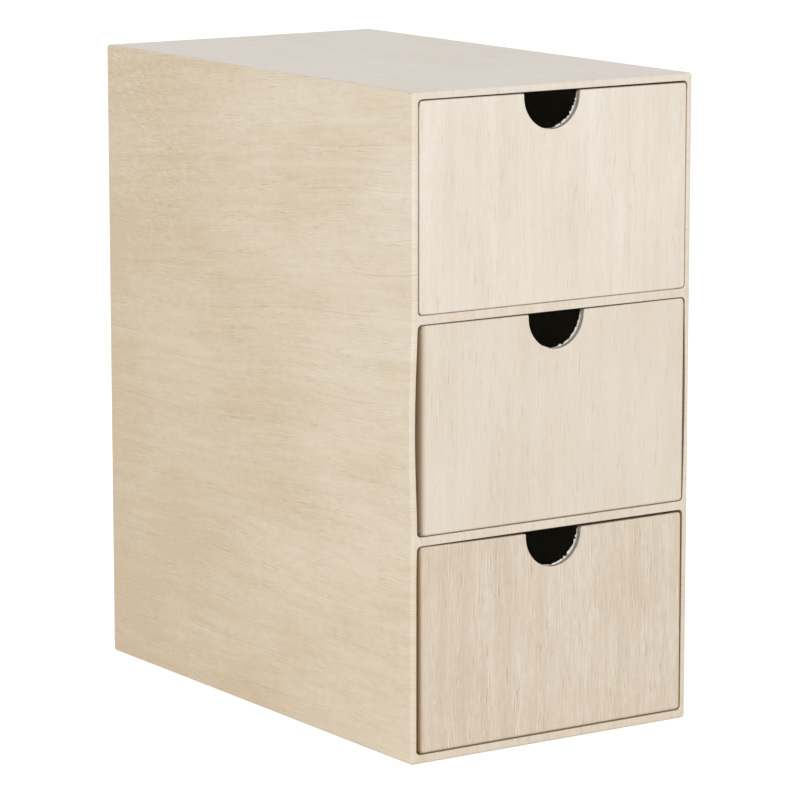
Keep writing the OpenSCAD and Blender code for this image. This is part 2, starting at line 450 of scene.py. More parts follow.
def oak_paper(name, pale, tan, print_and_shade, cabinet=False):
    """Paper printed as bleached oak, with painted shade in the gaps behind the front folds. The
    cabinet's has a livelier figure, painted shade towards the back of its sides, the warmer pale of
    painted light on its sides, and grows darker towards its foot.
    """
    sway, cloud, figure = CABINET_SHEET if cabinet else DRAWER_SHEET
    contrast = print_and_shade.contrast
    material, graph, shader = new_material(name, specular=0.45)
    shader.inputs["Sheen Weight"].default_value = 0.22
    shader.inputs["Sheen Roughness"].default_value = 0.35
    sheet = graph.add("ShaderNodeAttribute", attribute_name="paper").outputs["Vector"]
    # The painted shade in the gaps behind the front folds
    wear = graph.add("ShaderNodeAttribute", attribute_name="wear").outputs["Fac"]
    grain, aside, long_grain, swept = grain_vectors(graph, sheet, sway, cabinet)

    strength = layer(graph, "strength", grain, FAINTEST, 1.0)
    streaks = layer(graph, "streaks", grain)
    edges = graph.math("SUBTRACT", layer(graph, "streaks", aside), streaks, clamp=True)
    dark = graph.times(streaks, strength)
    pores = graph.times(layer(graph, "pores", grain), layer(graph, "pore_groups", grain))
    rings = graph.times(faint_rings(graph, swept), layer(graph, "ring_groups", long_grain))
    flecks = graph.times(layer(graph, "flecks", sheet), layer(graph, "fleck_groups", sheet))

    hairs = layer(graph, "hairs", grain)
    edges = graph.times(edges, strength)
    shade = graph.weighted(
        (dark, 0.15 * contrast), (hairs, 0.05 * contrast), (pores, 0.2 * contrast), (rings, figure)
    )
    gleam = graph.weighted((edges, 0.34 * contrast), (flecks, 0.8 * figure))
    share = tan_share(graph, sheet, grain, cloud, print_and_shade)
    if cabinet:
        facing = graph.separate(graph.add("ShaderNodeNewGeometry").outputs["Normal"])
        beside = graph.math("ABSOLUTE", facing[0])
        height = graph.separate(in_millimetres(graph))[2]
        depth = graph.separate(sheet)[0]
        # Painted shade towards the back of the sides, darker towards the foot, and the painted warmer
        # light on the sides
        share = graph.math("ADD", share, cabinet_painted_falloff(graph, depth, height, beside))
        pale = graph.mix(beside, pale, SIDE_PAINTED_PALE)
        burl, strokes = cabinet_strokes(graph, sheet, height, beside)
        gleam = graph.math("MULTIPLY_ADD", burl, graph.span(strokes, *PALE_STROKES), gleam)
        shade = graph.math("MULTIPLY_ADD", burl, graph.span(strokes, *DARK_STROKES), shade)

    colour = graph.mix(graph.math("ADD", share, 0.0, clamp=True), pale, tan)
    blush = graph.times(layer(graph, "blush", long_grain), BLUSH_SHARE)
    colour = graph.mix(blush, colour, BLUSH)
    colour = graph.mix(shade, colour, GRAIN_BROWN)
    colour = graph.mix(gleam, colour, FLECK_PALE)
    # Painted shade: the gaps behind the front folds are darkened towards a warm brown
    colour = graph.mix(graph.times(wear, print_and_shade.wear), colour, GAP_SHADE_BROWN)

    rough = graph.span(streaks, 0.0, 1.0, 0.46, 0.54)
    rough = graph.math("MULTIPLY_ADD", pores, 0.12, rough)
    tooth = graph.noise(sheet, TOOTH_SIZE)
    relief = graph.weighted((pores, -0.8), (tooth, 0.3), (rings, -0.3), (dark, -0.5))
    paint(graph, shader, colour, rough, relief, depth=0.06 * MM, strength=0.6)
    return material


# ---- Board, liner and torn paper ----

def grey_board():
    """Raw grey board: mottled pulp with pale and dark fibres."""
    material, graph, shader = new_material("raw_grey_board", specular=0.2)
    place = in_millimetres(graph)
    mottle = graph.span(graph.noise(place, (9, 9, 9), 3.0), 0.3, 0.7)
    fibres = graph.noise(place, (2.4, 1.0, 0.5), 3.0, 0.65)
    specks = graph.span(graph.noise(place, (0.7, 0.7, 0.7), 1.0), 0.62, 0.75)
    colour = graph.mix(mottle, srgb(158, 150, 139), srgb(178, 170, 158))
    colour = graph.mix(graph.span(fibres, 0.35, 0.7, 0.0, 0.35), colour, srgb(118, 109, 98))
    colour = graph.mix(graph.times(specks, 0.3), colour, srgb(210, 203, 192))
    rough = graph.span(fibres, 0.3, 0.7, 0.8, 0.95)
    paint(graph, shader, colour, rough, fibres, depth=0.15 * MM, strength=0.6)
    return material


def liner_paper():
    """Plain off-white paper inside the drawers, with faint fibres and rub marks."""
    material, graph, shader = new_material("pale_liner", specular=0.3)
    place = in_millimetres(graph)
    fibres = graph.noise(place, (1.2, 1.2, 1.2), 3.0, 0.7)
    clouds = graph.span(graph.noise(place, (30, 30, 30), 3.0), 0.3, 0.7)
    rubs = graph.span(graph.noise(place, (40, 14, 26), 3.0), 0.55, 0.8)
    colour = graph.mix(clouds, srgb(239, 230, 215), srgb(231, 220, 203))
    colour = graph.mix(graph.span(fibres, 0.3, 0.7, 0.0, 0.25), colour, srgb(212, 199, 180))
    colour = graph.mix(graph.times(rubs, 0.3), colour, srgb(204, 191, 172))
    rough = graph.span(rubs, 0, 1, 0.8, 0.62)
    paint(graph, shader, colour, rough, fibres, depth=0.05 * MM, strength=0.4)
    return material


def torn_paper():
    """The white core of torn paper."""
    material, graph, shader = new_material("torn_paper", specular=0.2)
    place = in_millimetres(graph)
    fibres = graph.noise(place, (0.5, 0.5, 0.5), 3.0, 0.7)
    colour = graph.mix(graph.span(fibres, 0.35, 0.65), srgb(226, 220, 211), srgb(248, 246, 242))
    rough = graph.span(fibres, 0.3, 0.7, 0.8, 0.95)
    paint(graph, shader, colour, rough, fibres, depth=0.1 * MM, strength=0.6)
    return material


# ---- Mesh building ----

def clamped(value, low, high):
    return min(high, max(low, value))


def smooth_share(value, low, high):
    """How far the value is from low to high, as a share with soft ends."""
    share = clamped((value - low) / (high - low), 0.0, 1.0)
    return share * share * (3 - 2 * share)


def filled(stops, step=GRID):
    """The stops with even steps between them, none wider than the step."""
    values = [stops[0]]
    for start, end in zip(stops, stops[1:]):
        count = max(1, math.ceil(abs(end - start) / step - STEP_SLACK))
        values += [start + (end - start) * i / count for i in range(1, count + 1)]
    return values


def fold(radius):
    """Steps of a quarter turn, as distances from the side it leaves and from the one it reaches."""
    angles = [0.5 * math.pi * i / FOLD_STEPS for i in range(FOLD_STEPS + 1)]
    return [(radius * (1 - math.cos(angle)), radius * (1 - math.sin(angle))) for angle in angles]


def headings(first, steps):
    """Directions over a quarter turn that starts at this angle in degrees."""
    angles = [math.radians(first + 90 * i / steps) for i in range(steps + 1)]
    return [(math.cos(angle), math.sin(angle)) for angle in angles]


def turn(x, y, radius, first):
    """A lap's quarter turn round this centre, as (point, outward direction)."""
    return [((x + radius * d[0], y + radius * d[1]), d) for d in headings(first, FOLD_STEPS)]


class Skin:
    """A surface made of rows of points. Points that coincide are one vertex."""

    def __init__(self):
        self.mesh = bmesh.new()
        self.known = {}

    def vertex(self, point):
        key = tuple(round(value / WELD) for value in point)
        if key not in self.known:
            self.known[key] = self.mesh.verts.new(point)
        return self.known[key]

    def face(self, points):
        corners = []
        for point in points:
            corner = self.vertex(point)
            if corner not in corners:
                corners.append(corner)
        if len(corners) > 2 and self.mesh.faces.get(corners) is None:
            self.mesh.faces.new(corners)

    def sweep(self, rows, closed=True, flip=False):
        """Faces between one row of points and the next."""
        for near, far in zip(rows, rows[1:]):
            count = len(near)
            for i in range(count if closed else count - 1):
                j = (i + 1) % count
                corners = [near[i], far[i], far[j], near[j]]
                self.face(corners[::-1] if flip else corners)

    def solid(self):
        """The mesh with its faces turned outwards."""
        bmesh.ops.recalc_face_normals(self.mesh, faces=self.mesh.faces[:])
        return self.mesh


def finish_mesh(mesh):
    """Shades the faces smooth, and sharp at folds of more than CREASE."""
    for one in mesh.faces:
        one.smooth = True
    for edge in mesh.edges:
        edge.smooth = edge.calc_face_angle(0.0) < CREASE


def painted_gap_shade(point):
    """How far painted shade darkens a fold behind the front at this point, in the gaps between the
    parts.
    """
    start, full, fade, end = GAP_SHADE_DEPTHS
    depth = point.y - CABINET_LO.y
    roof = BAYS[-1][1]
    rim = smooth_share(point.z, roof - RIM_BAND[0], roof - RIM_BAND[1])
    top_bay_share = smooth_share(point.z, BAYS[-2][1], BAYS[-1][0] + RIM_BAND[0]) * (1 - rim)
    share = 1 - (1 - TOP_GAP_SHADE) * top_bay_share
    return share * smooth_share(depth, start, full) * (1 - smooth_share(depth, fade, end))


def on_outside(middle):
    """Whether a face lies on the cabinet's outside or front, not in a bay."""
    low, high = BAYS[0][0] - SEAM, BAYS[-1][1] + SEAM
    return abs(middle.x) > BAY_X + SEAM or not low < middle.z < high


def lay_paper(mesh, place):
    """Writes each corner's place on the flat sheet and its painted gap shade. place takes a point, and
    the normal and the middle of its face."""
    sheet = mesh.loops.layers.float_vector.new("paper")
    wear = mesh.loops.layers.float.new("wear")
    for one in mesh.faces:
        middle = one.calc_center_median()
        outside_face = on_outside(middle)
        for loop in one.loops:
            loop[sheet] = place(loop.vert.co, one.normal, middle)
            # Painted shade in the gaps, none on the cabinet's outside and front
            loop[wear] = 0.0 if outside_face else painted_gap_shade(loop.vert.co)


def new_object(name, data):
    """An object in the scene."""
    made = bpy.data.objects.new(name, data)
    bpy.context.scene.collection.objects.link(made)
    return made


def mesh_object(name, mesh):
    data = bpy.data.meshes.new(name)
    mesh.to_mesh(data)
    return new_object(name, data)


def bake_modifiers(piece):
    """Puts what the piece's modifiers make into its own mesh."""
    graph = bpy.context.evaluated_depsgraph_get()
    made = bpy.data.meshes.new_from_object(piece.evaluated_get(graph), depsgraph=graph)
    piece.modifiers.clear()
    piece.data = made


def put_piece(node, mesh, material, body, warp, place=None, thick=0.0, cutter=None):
    """Makes a piece, thickened, cut, laid out as paper and warped. It stands for the CAD node of that
    name, if any. A thickened piece keeps its flat faces evenly lit."""
    mesh.normal_update()
    piece = mesh_object(node + "_finished", mesh)
    if thick:
        solid = piece.modifiers.new("thickness", "SOLIDIFY")
        solid.thickness = thick
        solid.offset = -1
    if cutter:
        tool = piece.modifiers.new("cut", "BOOLEAN")
        tool.operation = "DIFFERENCE"
        tool.solver = "EXACT"
        tool.object = cutter
    bake_modifiers(piece)
    mesh.clear()
    mesh.from_mesh(piece.data)
    if place:
        lay_paper(mesh, place)
    if warp:
        for vertex in mesh.verts:
            vertex.co = warp(vertex.co)
    mesh.normal_update()
    finish_mesh(mesh)
    mesh.to_mesh(piece.data)
    mesh.free()
    piece.data.materials.append(material)
    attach(piece, body)
    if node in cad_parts:
        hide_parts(node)
    if thick:
        piece.modifiers.new("even", "WEIGHTED_NORMAL").keep_sharp = True


def block_mesh(lo, hi, radii=(), step=GRID):
    """A block cut into a grid so that it can bow, with rows where its edges will be rounded."""
    rows_at = []
    for low, high in zip(lo, hi):
        folds = {low + r for r in radii} | {high - r for r in radii}
        stops = [low] + sorted(value for value in folds if low < value < high) + [high]
        rows_at.append(filled(stops, step))
    skin = Skin()
    for axis in range(3):
        first, second = (axis + 1) % 3, (axis + 2) % 3
        for value in (lo[axis], hi[axis]):
            def spot(along, aside):
                at = {axis: value, first: along, second: aside}
                return Vector((at[0], at[1], at[2]))

            rows = [[spot(along, aside) for aside in rows_at[second]] for along in rows_at[first]]
            skin.sweep(rows, closed=False, flip=value == lo[axis])
    return skin.solid()


def round_edge(point, axes, lo, hi, radius):
    """Moves a point near a square edge of the box onto a fold of this radius."""
    inner = [clamped(point[a], lo[a] + radius, hi[a] - radius) for a in axes]
    out = [point[a] - value for a, value in zip(axes, inner)]
    length = math.hypot(*out)
    if length > radius:
        for a, value, step in zip(axes, inner, out):
            point[a] = value + step * radius / length


def board_mesh(node, hull, upright_r, level_r, rim_r=0.0, step=GRID):
    """A board of a wrapped box: its edges on the box's outside follow the folds."""
    lo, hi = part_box(node)
    open_lo = [low if abs(low - wall) < TOUCH else low - CLEAR for low, wall in zip(lo, hull[0])]
    open_hi = [high if abs(high - wall) < TOUCH else high + CLEAR for high, wall in zip(hi, hull[1])]
    mesh = block_mesh(lo, hi, (upright_r, level_r), step)
    thin = 0 if hi.x - lo.x < hi.y - lo.y else 1
    for vertex in mesh.verts:
        round_edge(vertex.co, (0, 1), open_lo, open_hi, upright_r)
        round_edge(vertex.co, (0, 2), open_lo, open_hi, level_r)
        round_edge(vertex.co, (1, 2), open_lo, open_hi, level_r)
        if rim_r:
            round_edge(vertex.co, (thin, 2), lo, hi, rim_r)
    return mesh


# ---- Cabinet ----

def bow(point):
    """The cabinet's warp: its left wall bows out beside the middle drawer and stands out beside the
    bottom one, and its right wall is pressed thin at the middle mouth."""
    low, high = BAYS[1]
    rise = clamped((point.z - low) / (high - low), 0.0, 1.0)
    swell = math.sin(math.pi * rise) ** BOW_POWER
    depth = (point.y - CABINET_LO.y) / CABINET_D
    reach = math.cos(0.5 * math.pi * min(1.0, depth * BOW_PACE)) ** 2
    reach *= smooth_share(abs(point.x), STRAIGHT_X - BOW_BLEND, BAY_X)
    if point.x < 0:
        beside = 1 - smooth_share(point.z, BAYS[0][1] - SPREAD_FADE, BAYS[1][0] + SPREAD_FADE)
        return point - Vector(((BOW_LEFT * swell + SPREAD * beside) * reach, 0, 0))
    reach *= 1 - smooth_share(point.x, BAY_X + MOUTH_EDGE_R, CABINET_HI.x - BOW_SKIN)
    return point + Vector((BOW_RIGHT * swell * reach, 0, 0))


def cabinet_place(seed):
    """Places points of the cabinet's paper, whose grain runs from front to back."""
    def place(point, normal, middle):
        in_x = CABINET_W / 2 - abs(middle.x)
        in_z = min(middle.z, CABINET_H - middle.z)
        back = point.y - CABINET_LO.y
        from_side = CABINET_W / 2 - abs(point.x)
        from_top = CABINET_H - point.z
        if abs(middle.x) > BAY_X - MOUTH_SEAM and in_x < in_z:
            across = point.z / MM + (SHEET_GAP if middle.x > 0 else 0)
            return ((back - from_side) / MM, across, seed)
        return ((back - from_top) / MM, point.x / MM + 2 * SHEET_GAP, seed)
    return place


def mouth_corner(side, centre_z, cell_z, first):
    """The steps inside a mouth's corner, as in mouth_loops. side is the sign of its X."""
    centre_x, side_x = side * STRAIGHT_X, side * SIDE_X
    steps = []
    for i, out in enumerate(headings(first, CORNER_STEPS)[1:-1], 1):
        spot = (centre_x + MOUTH_R * out[0], centre_z + MOUTH_R * out[1])
        share = i / CORNER_STEPS
        along = share if first in (-90, 90) else 1 - share
        if along <= 0.5:
            cell = (centre_x + (side_x - centre_x) * 2 * along, cell_z)
        else:
            cell = (side_x, cell_z + (centre_z - cell_z) * (2 * along - 1))
        steps.append((spot, out, cell))
    return steps


def mouth_loops():
    """For each bay: one lap round its mouth, as (mouth point, outward direction, cell point) in XZ.
    The cells share out the front among the bays."""
    xs = filled([-STRAIGHT_X, -TURN_X, TURN_X, STRAIGHT_X], MOUTH_STEP)
    cells = []
    between = [(lower[1] + upper[0]) / 2 for lower, upper in zip(BAYS, BAYS[1:])]
    edges = [OUTER_EDGE_R] + between + [CABINET_H - OUTER_EDGE_R]
    for row, (low, high) in enumerate(BAYS):
        foot, head = low + MOUTH_R, high - MOUTH_R
        turns = [z for z in (OUTER_TURN, CABINET_H - OUTER_TURN) if foot < z < head]
        zs = filled([foot] + turns + [head])
        bottom, top = edges[row], edges[row + 1]
        lap = [((x, low), (0, -1), (x, bottom)) for x in xs]
        lap += mouth_corner(1, foot, bottom, -90)
        lap += [((BAY_X, z), (1, 0), (SIDE_X, z)) for z in zs]
        lap += mouth_corner(1, head, top, 0)
        lap += [((x, high), (0, 1), (x, top)) for x in reversed(xs)]
        lap += mouth_corner(-1, head, top, 90)
        lap += [((-BAY_X, z), (-1, 0), (-SIDE_X, z)) for z in reversed(zs)]
        lap += mouth_corner(-1, foot, bottom, 180)
        cells.append(lap)
    return cells


def outline_lap(cells):
    """One lap round the cabinet's outline, as (point on the inset rectangle, outward direction)."""
    spots = {(round(cell[0], 8), round(cell[1], 8)) for lap in cells for _, _, cell in lap}
    side_x = max(x for x, _ in spots)
    low = min(z for _, z in spots)
    high = max(z for _, z in spots)
    xs = sorted(x for x, z in spots if z == low and abs(x) < side_x)
    zs = sorted({z for x, z in spots if x == side_x and low < z < high})

    lap = [((x, low), (0, -1)) for x in xs]
    lap += turn(side_x, low, 0, -90)
    lap += [((side_x, z), (1, 0)) for z in zs]
    lap += turn(side_x, high, 0, 0)
    lap += [((x, high), (0, 1)) for x in reversed(xs)]
    lap += turn(-side_x, high, 0, 90)
    lap += [((-side_x, z), (-1, 0)) for z in reversed(zs)]
    lap += turn(-side_x, low, 0, 180)
    return lap


def ring(lap, out, y):
    """A lap at this depth, moved outwards."""
    return [(p[0] + d[0] * out, y, p[1] + d[1] * out) for p, d in lap]


def mouth_rows(loop):
    """Rows from a bay's lining over the fold of its mouth to the edge of its cell."""
    front = CABINET_LO.y
    lap = [(spot, out) for spot, out, _ in loop]
    rows = [ring(lap, 0, y) for y in filled([front + BAY_TURN, front + MOUTH_EDGE_R], LINING_STEP)[:-1]]
    rows += [ring(lap, out, front + behind) for out, behind in fold(MOUTH_EDGE_R)]
    rows.append([(cell[0], front, cell[1]) for _, _, cell in loop])
    return rows


def outside_rows(lap):
    """Rows from the front over the outside to the edges turned onto the back."""
    front, back = CABINET_LO.y, CABINET_HI.y
    rows = [ring(lap, OUTER_EDGE_R - inset, front + behind) for behind, inset in fold(OUTER_EDGE_R)]
    stops = [front + OUTER_EDGE_R, front + OUTER_TURN, back - OUTER_TURN, back - OUTER_EDGE_R]
    rows += [ring(lap, OUTER_EDGE_R, y) for y in filled(stops, OUTSIDE_STEP)[1:-1]]
    rows += [ring(lap, OUTER_EDGE_R - inset, back - before) for inset, before in fold(OUTER_EDGE_R)]
    rows.append([
        (clamped(p[0], -TURN_X, TURN_X), back, clamped(p[1], OUTER_TURN, CABINET_H - OUTER_TURN))
        for p, _ in lap
    ])
    return rows


def under_base_sheet(middle):
    """Whether a face on the underside is hidden by the base sheet."""
    inside = CABINET_LO.y + OUTER_TURN < middle.y < CABINET_HI.y - OUTER_TURN and abs(middle.x) < TURN_X
    return inside and middle.z < TOUCH


def cabinet_skin():
    """The visible side of the cabinet's paper: outside, front edges, mouth linings and turned edges."""
    skin = Skin()
    cells = mouth_loops()
    for loop in cells:
        skin.sweep(mouth_rows(loop))
    skin.sweep(outside_rows(outline_lap(cells)))
    return skin.mesh


def part_of(mesh, wanted):
    """A copy of the mesh with only the wanted faces."""
    copy = mesh.copy()
    extra = [one for one in copy.faces if not wanted(one.calc_center_median())]
    bmesh.ops.delete(copy, geom=extra, context="FACES")
    return copy


def on_edging(box):
    """A test for faces of the paper strip round a shelf's front edge."""
    low, high = box[0].z - TOUCH, box[1].z + TOUCH
    end = CABINET_LO.y + BAY_TURN + EDGING_PAST
    return lambda middle: low < middle.z < high and abs(middle.x) < STRAIGHT_X and middle.y < end


def make_cabinet(oak, board):
    whole = cabinet_skin()
    lower = on_edging(LOWER_EDGING)
    upper = on_edging(UPPER_EDGING)
    parts = {
        "cabinet_wrap": lambda middle: not any(at(middle) for at in (lower, upper, under_base_sheet)),
        "lower_shelf_edging": lower,
        "upper_shelf_edging": upper,
    }
    for node, wanted in parts.items():
        place = cabinet_place(SEEDS[node])
        put_piece(node, part_of(whole, wanted), oak, "cabinet", bow, place, PAPER)
    whole.free()

    for node in ("back_sheet", "base_sheet"):
        place = cabinet_place(SEEDS[node])
        put_piece(node, block_mesh(*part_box(node)), oak, "cabinet", None, place)
    hull = (CABINET_LO + WRAP, CABINET_HI - WRAP)
    for node in ("left_side_board", "right_side_board", "top_board", "base_board", "back_board"):
        mesh = board_mesh(node, hull, OUTER_EDGE_R - PAPER, OUTER_EDGE_R - PAPER)
        put_piece(node, mesh, board, "cabinet", bow)
    for node in ("upper_shelf_board", "lower_shelf_board"):
        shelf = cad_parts[node]
        shelf.data.materials.clear()
        shelf.data.materials.append(board)


# ---- Drawers ----

def soften(point, lo, hi, radius):
    """Bends a drawer's corners, as seen from the front, into arcs of this radius."""
    centre_x = clamped(point.x, lo.x + radius, hi.x - radius)
    centre_z = clamped(point.z, lo.z + radius, hi.z - radius)
    out_x, out_z = point.x - centre_x, point.z - centre_z
    length = math.hypot(out_x, out_z)
    if length > 0:
        share = max(abs(out_x), abs(out_z)) / length
        point.x = centre_x + out_x * share
        point.z = centre_z + out_z * share


def sitting(row):
    """A drawer's warp: soft corners, leaning walls, a sunken rim, and a shift."""
    lo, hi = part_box(row + "_drawer_wrap")
    sits = SITS[row]
    folds = FOLDS[row]

    def warp(point):
        moved = point.copy()
        rise = (point.z - lo.z) / (hi.z - lo.z)
        across = (point.x - lo.x) / (hi.x - lo.x)
        front_r = folds.upper_corner if rise > 0.5 else folds.lower_corner
        past = smooth_share(point.y - lo.y, 0, SOFT_DEPTH)
        soften(moved, lo, hi, front_r + (LONG_EDGE_R - front_r) * past)
        moved.x += sits.shift + sits.lean * (0.5 - rise)
        level = sits.sink_left + (sits.sink_right - sits.sink_left) * across
        sag = sits.sink_middle - (sits.sink_left + sits.sink_right) / 2
        moved.z -= rise * (level + sag * math.sin(math.pi * across))
        return moved
    return warp


def drawer_place(row, seed):
    """Places points of a drawer's paper, whose grain stands upright on all four walls."""
    lo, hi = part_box(row + "_drawer_wrap")
    half = (hi.x - lo.x) / 2

    def place(point, normal, middle):
        from_side = half - abs(middle.x)
        from_front = middle.y - lo.y
        from_back = hi.y - middle.y
        up = point.z - lo.z
        sign = 1 if middle.x > 0 else -1
        if normal.z < UNDER_NORMAL:
            return ((lo.y - point.y) / MM, point.x / MM, seed)
        if from_back < min(from_side, from_front):
            return ((up - (hi.y - point.y)) / MM, point.x / MM + 3 * SHEET_GAP, seed)
        if from_side < from_front:
            inward = half - abs(point.x)
            return ((up - inward) / MM, (point.x + sign * (point.y - lo.y)) / MM, seed)
        inward = point.y - lo.y
        near_end = inward if abs(middle.x) > half - END_BAND else 0
        return ((up - inward) / MM, (point.x + sign * near_end) / MM, seed)
    return place


def plan_lap(lo, hi, left_r, other_r):
    """A drawer's lap seen from above, as (point, outward direction), and the grid of its floor. left_r
    is the radius of its front left fold."""
    inset = max(left_r, other_r)
    xs = filled([lo.x + inset, hi.x - inset])
    ys = filled([lo.y + inset, hi.y - inset], SIDE_STEP)
    near = filled([lo.x + left_r, xs[0]], SOFT_STEP) + xs + filled([xs[-1], hi.x - other_r], SOFT_STEP)
    lap = [((x, lo.y), (0, -1)) for x in near]
    lap += turn(hi.x - other_r, lo.y + other_r, other_r, -90)
    lap += [((hi.x, y), (1, 0)) for y in ys]
    lap += turn(hi.x - other_r, hi.y - other_r, other_r, 0)
    lap += [((x, hi.y), (0, 1)) for x in reversed(xs)]
    lap += turn(lo.x + other_r, hi.y - other_r, other_r, 90)
    lap += [((lo.x, y), (-1, 0)) for y in reversed(ys)]
    lap += turn(lo.x + left_r, lo.y + left_r, left_r, 180)
    return lap, xs, ys


def level_row(lap, z, low, high, inset=0.0):
    """A lap at this height, moved in by the inset and held between two corners."""
    return [
        (clamped(p[0] - d[0] * inset, low[0], high[0]), clamped(p[1] - d[1] * inset, low[1], high[1]), z)
        for p, d in lap
    ]


def wall_rows(low, high):
    """Heights between the folds of a drawer's wall, fine beside its soft corners."""
    lower, upper = low + SOFT_BAND, high - SOFT_BAND
    stops = filled([low, lower], SOFT_STEP)
    stops += filled([lower, upper])[1:]
    stops += filled([upper, high], SOFT_STEP)[1:]
    return stops[1:-1]


def drawer_wrap_mesh(row):
    """The visible side of a drawer's wrap: underside, walls, rim and the turned edge inside."""
    skin = Skin()
    lo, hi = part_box(row + "_drawer_wrap")
    under_r = FOLDS[row].under
    lap, xs, ys = plan_lap(lo, hi, FOLDS[row].front_left, FOLDS[row].upright)
    inner_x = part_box(row + "_drawer_left_board")[1].x + PAPER
    near_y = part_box(row + "_drawer_front_board")[1].y + PAPER
    far_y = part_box(row + "_drawer_back_board")[0].y - PAPER

    def outer(inset, z):
        return level_row(lap, z, (lo.x + inset, lo.y + inset), (hi.x - inset, hi.y - inset), inset)

    def inner(grow, z):
        return level_row(lap, z, (inner_x - grow, near_y - grow), (-inner_x + grow, far_y + grow))

    rows = [level_row(lap, lo.z, (xs[0], ys[0]), (xs[-1], ys[-1]))]
    rows += [outer(inset, lo.z + rise) for rise, inset in fold(under_r)]
    rows += [outer(0, z) for z in wall_rows(lo.z + under_r, hi.z - RIM_R)]
    rows += [outer(inset, hi.z - drop) for inset, drop in fold(RIM_R)]
    rows += [inner(grow, hi.z - drop) for grow, drop in reversed(fold(RIM_R))]
    rows += [inner(0, z) for z in filled([hi.z - RIM_R, hi.z - RIM_TURN], LINING_STEP)[1:]]
    skin.sweep(rows, flip=True)
    skin.sweep([[(x, y, lo.z) for x in xs] for y in ys], closed=False)
    return skin.mesh


def drawer_liner_mesh(row):
    """The visible side of a liner: it steps over the wrap's turned edge and rounds into the floor."""
    skin = Skin()
    lo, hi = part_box(row + "_drawer_liner")
    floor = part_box(row + "_drawer_floor_board")[1].z + PAPER
    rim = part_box(row + "_drawer_wrap")[1].z
    lap, xs, ys = plan_lap(lo + WRAP, hi - WRAP, LINER_CORNER_R, LINER_CORNER_R)

    def inside(inset, z):
        return [(p[0] - d[0] * inset, p[1] - d[1] * inset, z) for p, d in lap]

    step_z = rim - RIM_TURN - PAPER
    rows = [inside(inset, floor + rise) for rise, inset in fold(LINER_CORNER_R)]
    rows += [inside(0, z) for z in filled([floor + LINER_CORNER_R, step_z], SIDE_STEP)[1:]]
    rows += [inside(PAPER, z) for z in filled([step_z + LINER_STEP, rim - LINER_DROP])]
    skin.sweep(rows)
    skin.sweep([[(x, y, floor) for x in xs] for y in ys], closed=False, flip=True)
    return skin.mesh


def notch_outline(row, past=0.0):
    """The notch's outline from its left lip down and up to its right lip, as XZ points."""
    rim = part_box(row + "_drawer_wrap")[1].z
    centre = SITS[row].notch_shift

    def lip(radius):
        return [(NOTCH_R + out, -drop) for drop, out in fold(radius)]

    bowl = [math.pi * i / BOWL_STEPS for i in range(BOWL_STEPS + 1)]
    whole = [(-x, z) for x, z in lip(NOTCH_LEFT_LIP_R)]
    whole += [(-NOTCH_R * math.cos(a), -NOTCH_STRAIGHT - NOTCH_R * math.sin(a)) for a in bowl]
    whole += lip(NOTCH_RIGHT_LIP_R)[::-1]
    if past:
        whole = [(whole[0][0], past)] + whole + [(whole[-1][0], past)]
    return [(centre + x, rim + z) for x, z in whole]


def notch_cutter(row):
    """A solid through the drawer's front in the shape of its notch."""
    skin = Skin()
    near, far = CABINET_LO.y - CUT_BEFORE, CABINET_LO.y + CUT_BEHIND
    outline = notch_outline(row, past=CUT_ABOVE)
    rows = [[(x, y, z) for x, z in outline] for y in (near, far)]
    skin.sweep(rows)
    skin.face(rows[0][::-1])
    skin.face(rows[1])
    cutter = mesh_object(row + "_notch_cutter", skin.solid())
    skin.mesh.free()
    return cutter


def tear_steps(row):
    """Short steps along the notch's outline between its lips, as (point, direction) in XZ."""
    outline = notch_outline(row)[FOLD_STEPS:-FOLD_STEPS]
    steps = []
    for start, end in zip(outline, outline[1:]):
        count = max(1, round(math.dist(start, end) / TEAR_STEP))
        near, far = Vector(start), Vector(end)
        along = (far - near).normalized()
        steps += [(near.lerp(far, i / count), along) for i in range(count)]
    return steps


def tear_noise(kind, index, seed):
    """One of the tear's noises at this step."""
    pace, plane = TEAR_NOISES[kind]
    return noise.noise(Vector((index * pace, seed, plane)))


def ragged(mix, wander, jag):
    least, middle, slow, fast = mix
    return max(least, middle + slow * wander + fast * jag)


def torn_rim_mesh(row, seed):
    """The ragged white edge that the punch left at the back of the notch."""
    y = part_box(row + "_drawer_front_board")[1].y
    steps = tear_steps(row)
    sections = []
    for index, (spot, along) in enumerate(steps):
        into = Vector((-along.y, along.x))
        wander = tear_noise("wander", index, seed)
        jag = tear_noise("jag", index, seed)
        lap = index / len(steps)
        ends = smooth_share(lap, 0, TEAR_ENDS) * smooth_share(1 - lap, 0, TEAR_ENDS)
        most = TEAR_REACH * (TEAR_LEFT + (1 - TEAR_LEFT) * smooth_share(lap, *TEAR_GROWS))
        reach = most * ends * ragged(REACH_MIX, wander, jag)
        lean = TEAR_LEAN * ends * ragged(LEAN_MIX, wander, jag)
        curl = TEAR_CURL * tear_noise("curl", index, seed)
        tip = spot + into * (TEAR_PROUD + reach)
        crest = spot + into * TEAR_PROUD
        root = spot - into * TEAR_ROOT
        sections.append((
            (crest.x, y - lean, crest.y),
            (tip.x, y + TEAR_PROUD + curl, tip.y),
            (tip.x, y + TEAR_PROUD + curl + TEAR_THICK, tip.y),
            (root.x, y + TEAR_THICK, root.y),
            (root.x, y - TEAR_PROUD, root.y),
        ))
    rows = list(zip(*sections))
    skin = Skin()
    skin.sweep(rows + rows[:1], closed=False)
    skin.face(sections[0])
    skin.face(sections[-1])
    return skin.solid()


